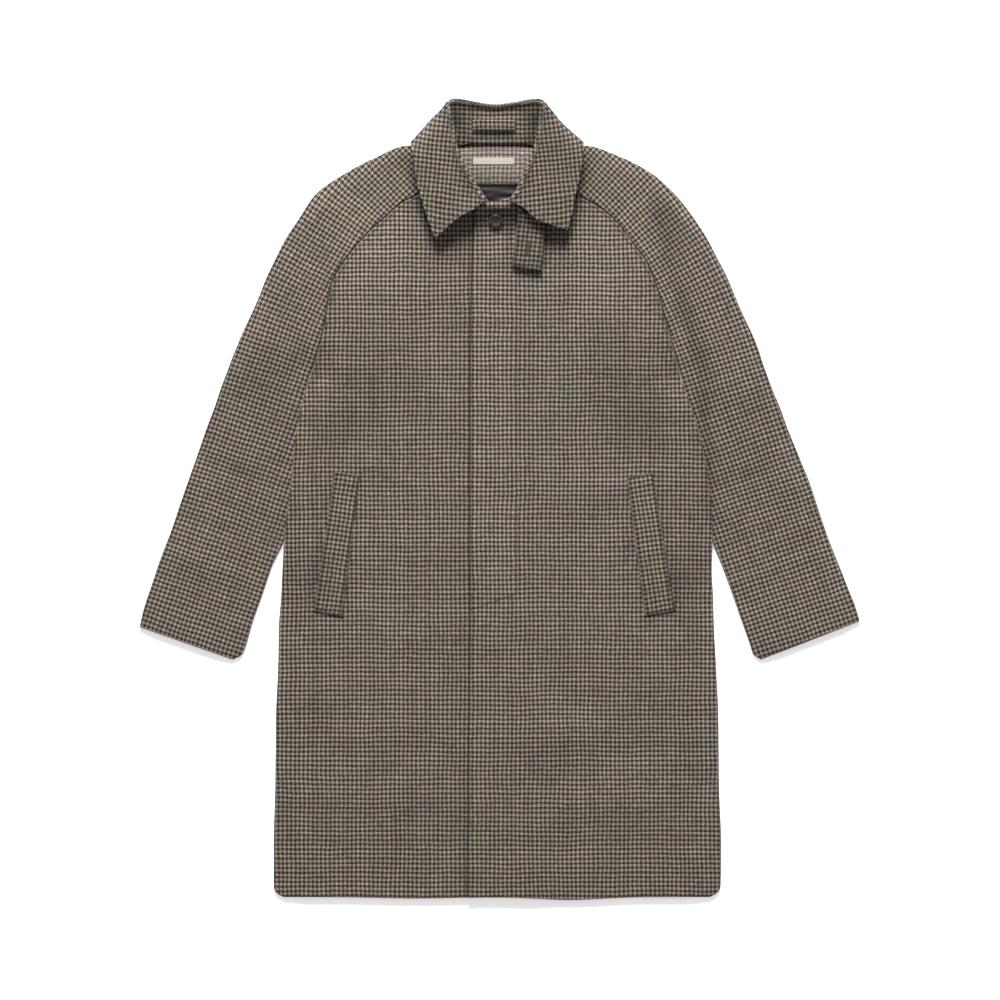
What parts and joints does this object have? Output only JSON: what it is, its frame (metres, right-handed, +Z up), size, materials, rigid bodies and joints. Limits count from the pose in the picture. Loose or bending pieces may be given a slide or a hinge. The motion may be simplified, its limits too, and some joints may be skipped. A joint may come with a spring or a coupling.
{
  "type": "wool raglan coat",
  "caption": "Knee-length wool raglan overcoat in a small check, laid flat on its back, with a turned-down collar, hidden front fastening, throat tab and slanted welt pockets.",
  "frame": {"origin": "on the surface that the coat lies on, below the middle of its outline", "axes": "+Y from hem to collar, +X to the right as seen from above, +Z up, away from the surface it lies on"},
  "size_m": [0.972, 1.0794, 0.0334],
  "materials": {
    "check_cloth": "brushed wool, small houndstooth check",
    "charcoal_lining": "satin",
    "cream_ribbon": "woven ribbon, bare",
    "dark_horn": "satin, mottled"
  },
  "bodies": {
    "root": {"back_panel": "check_cloth", "front_under": "check_cloth", "front_over": "check_cloth", "sleeve_back_left": "check_cloth", "sleeve_front_left": "check_cloth", "sleeve_back_right": "check_cloth", "sleeve_front_right": "check_cloth", "collar": "check_cloth", "back_neck_facing": "check_cloth", "back_lining": "charcoal_lining", "label": "cream_ribbon", "pocket_welt_left": "check_cloth", "pocket_welt_right": "check_cloth", "throat_tab": "check_cloth", "hanger_loop": "check_cloth", "button_neck": "dark_horn"}
  },
  "joints": []
}
